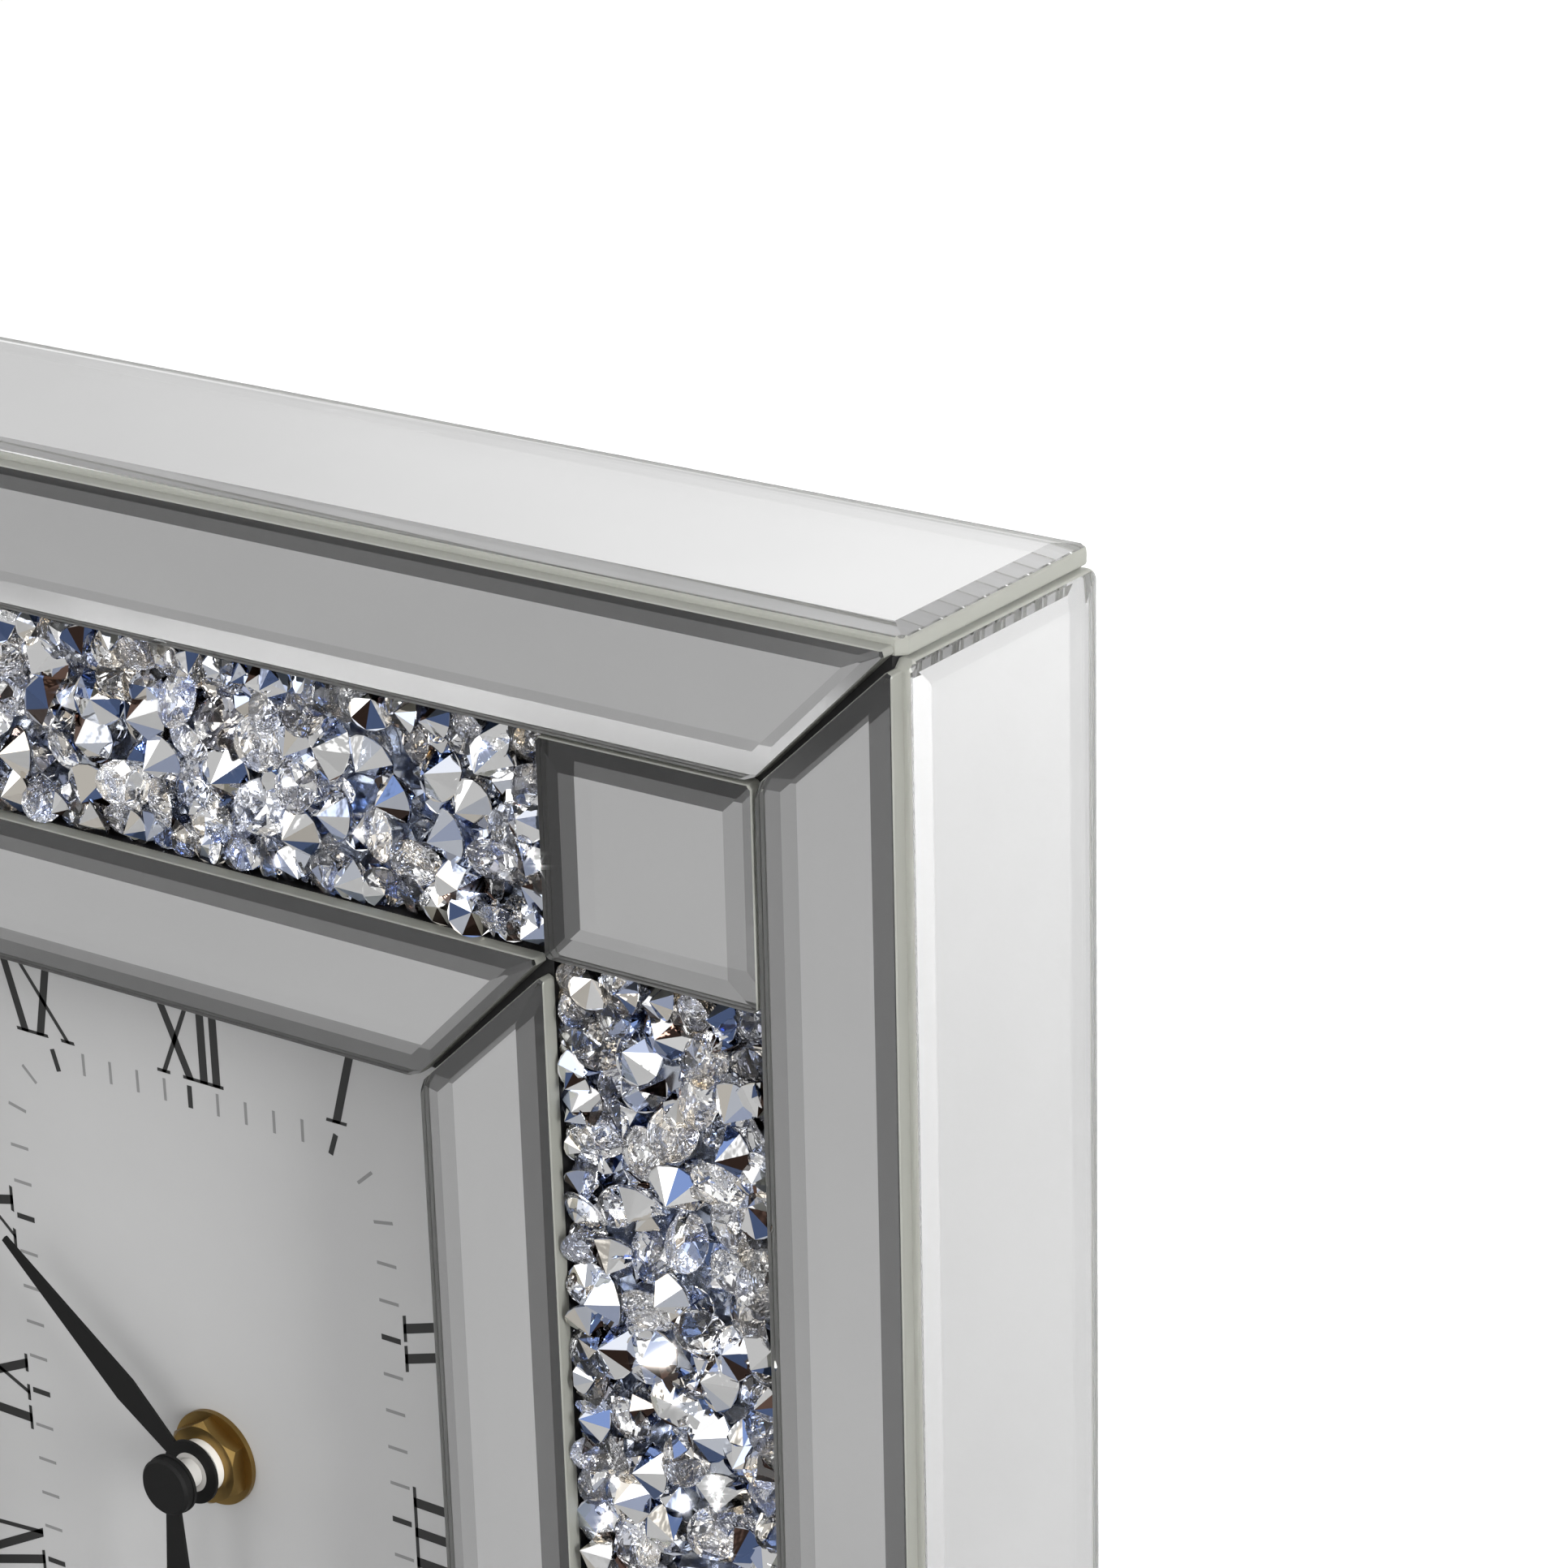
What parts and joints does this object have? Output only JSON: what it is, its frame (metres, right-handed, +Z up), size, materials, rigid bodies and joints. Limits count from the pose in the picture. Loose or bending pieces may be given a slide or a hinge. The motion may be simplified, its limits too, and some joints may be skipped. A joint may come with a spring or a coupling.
{
  "type": "mirrored table clock",
  "caption": "Free-standing box of bevelled mirror glass with crystals set between two mitred frames, a portrait dial with two hands, and a battery movement.",
  "frame": {"origin": "middle of the footprint, on the surface that the clock stands on", "axes": "+Z up, the dial faces -Y, +X to the right of a viewer who faces the dial"},
  "size_m": [0.258, 0.044, 0.3015],
  "materials": {
    "black_board": "black-painted fibreboard",
    "screw_steel": "black zinc",
    "pad_rubber": "matte rubber",
    "mirror_glass": "silvered and bevelled float glass",
    "mirror_film": "silvered film",
    "crystal": "cut, foil-backed glass",
    "dial_print": "satin white print",
    "dial_backing": "hardboard",
    "hand_black": "matt black",
    "brass": "turned brass",
    "housing_white": "moulded, off-white",
    "housing_black": "moulded, black",
    "battery_sleeve": "printed sleeve",
    "contact_steel": "nickel plated",
    "wheel_plastic": "moulded, white",
    "coil_wire": "enamelled copper wire",
    "circuit_green": "solder mask"
  },
  "bodies": {
    "case": {"front_board": "black_board", "rail_left": "black_board", "rail_right": "black_board", "rail_top": "black_board", "rail_bottom": "black_board", "back_board": "black_board", "back_screws": "screw_steel", "foot_pads": "pad_rubber", "mirror_top": "mirror_glass", "mirror_bottom": "mirror_glass", "mirror_left": "mirror_glass", "mirror_right": "mirror_glass", "outer_strip_top": "mirror_glass", "outer_strip_bottom": "mirror_glass", "outer_strip_left": "mirror_glass", "outer_strip_right": "mirror_glass", "inner_strip_top": "mirror_glass", "inner_strip_bottom": "mirror_glass", "inner_strip_left": "mirror_glass", "inner_strip_right": "mirror_glass", "corner_mirror_top_left": "mirror_glass", "corner_mirror_top_right": "mirror_glass", "corner_mirror_bottom_left": "mirror_glass", "corner_mirror_bottom_right": "mirror_glass", "crystal_film_top": "mirror_film", "crystal_film_bottom": "mirror_film", "crystal_film_left": "mirror_film", "crystal_film_right": "mirror_film", "crystals_top": "crystal", "crystals_bottom": "crystal", "crystals_left": "crystal", "crystals_right": "crystal", "dial_sheet": "dial_print", "dial_board": "dial_backing", "washer": "brass", "hex_nut": "brass", "gasket": "pad_rubber", "movement_housing": "housing_white", "movement_cover": "housing_black", "battery": "battery_sleeve", "battery_contacts": "contact_steel", "coil": "coil_wire", "stator": "contact_steel", "circuit_board": "circuit_green", "quartz_can": "contact_steel"},
    "minute": {"minute_arbor": "wheel_plastic", "minute_hand": "hand_black", "hand_cap": "hand_black"},
    "hour": {"hour_wheel": "wheel_plastic", "hour_hand": "hand_black"},
    "motion": {"motion_wheel": "wheel_plastic"},
    "knob": {"setting_knob": "housing_black"}
  },
  "joints": [
    {"name": "minute_spin", "type": "hinge", "parent": "case", "child": "minute", "pos_m": [0, 0, 0.1515], "axis": [0, 1, 0], "continuous": true},
    {"name": "hour_spin", "type": "hinge", "parent": "case", "child": "hour", "pos_m": [0, 0, 0.1515], "axis": [0, 1, 0], "continuous": true},
    {"name": "motion_spin", "type": "hinge", "parent": "case", "child": "motion", "pos_m": [-0.00617, 0, 0.15885], "axis": [0, 1, 0], "continuous": true},
    {"name": "knob_spin", "type": "hinge", "parent": "case", "child": "knob", "pos_m": [-0.0045, 0, 0.16831], "axis": [0, 1, 0], "continuous": true}
  ],
  "couplings": [
    {"joint": "hour_spin", "follows": "minute_spin", "ratio": 0.083333},
    {"joint": "motion_spin", "follows": "minute_spin", "ratio": -0.33333},
    {"joint": "knob_spin", "follows": "minute_spin", "ratio": 1}
  ]
}
